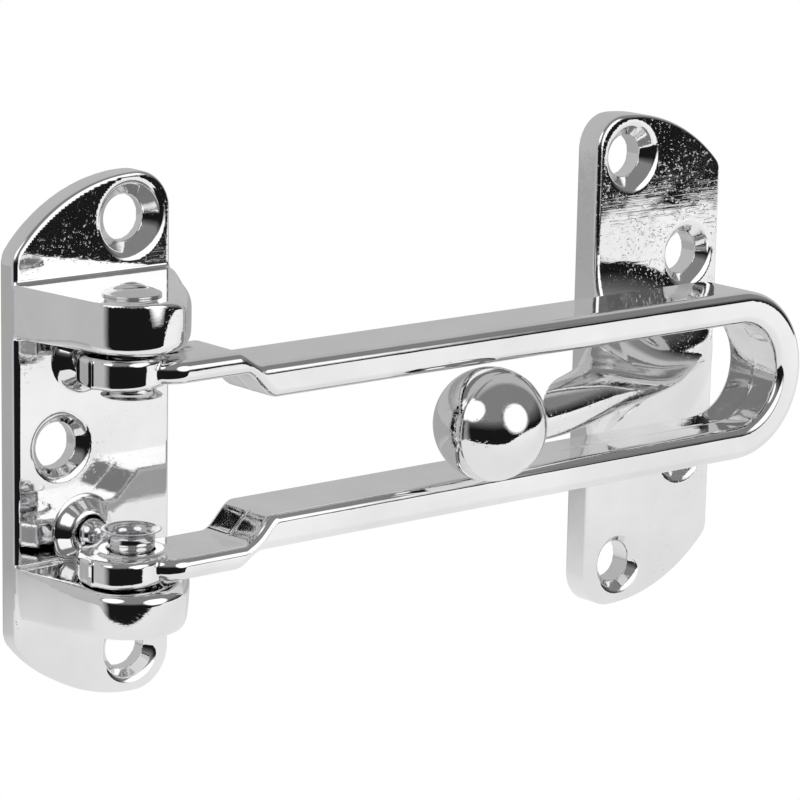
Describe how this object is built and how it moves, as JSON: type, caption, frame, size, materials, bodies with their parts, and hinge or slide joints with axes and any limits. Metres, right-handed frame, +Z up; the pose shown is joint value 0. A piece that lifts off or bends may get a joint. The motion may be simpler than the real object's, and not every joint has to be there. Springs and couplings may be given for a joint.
{
  "type": "swing-bar door guard",
  "caption": "Chrome swing-bar door guard: slotted bar hinged on a frame plate, its slot round a ball on a door plate horn.",
  "frame": {"origin": "centre of the hinge plate's back face, halfway up and across the plate", "axes": "+X along the closed bar towards its loop end, +Y into the wall behind both plates, +Z up along the hinge pin"},
  "size_m": [0.1455, 0.0386, 0.0859],
  "materials": {
    "bright_chrome": "polished",
    "polished_steel": "satin",
    "spring_wire": "satin"
  },
  "bodies": {
    "frame_side": {"hinge_plate": "bright_chrome", "upper_hinge_rivet": "polished_steel", "lower_hinge_rivet": "polished_steel", "upper_detent_spring": "spring_wire", "lower_detent_spring": "spring_wire"},
    "bar": {"swing_bar": "bright_chrome"},
    "door_side": {"ball_plate": "bright_chrome"},
    "upper_ball": {"upper_detent_ball": "polished_steel"},
    "lower_ball": {"lower_detent_ball": "polished_steel"}
  },
  "joints": [
    {"name": "bar_swing", "type": "hinge", "parent": "frame_side", "child": "bar", "pos_m": [-0.004, -0.0193, 0], "axis": [0, 0, -1], "range_deg": [0, 180]},
    {"name": "ball_slide", "type": "slide", "parent": "bar", "child": "door_side", "axis": [1, 0, 0], "range_m": [-0.043, 0.01]},
    {"name": "upper_detent", "type": "slide", "parent": "frame_side", "child": "upper_ball", "axis": [0, -1, 0], "range_m": [0, 0.0006], "stiffness_N_per_m": 60, "springref_m": 0.0006},
    {"name": "lower_detent", "type": "slide", "parent": "frame_side", "child": "lower_ball", "axis": [0, -1, 0], "range_m": [0, 0.0006], "stiffness_N_per_m": 60, "springref_m": 0.0006}
  ]
}
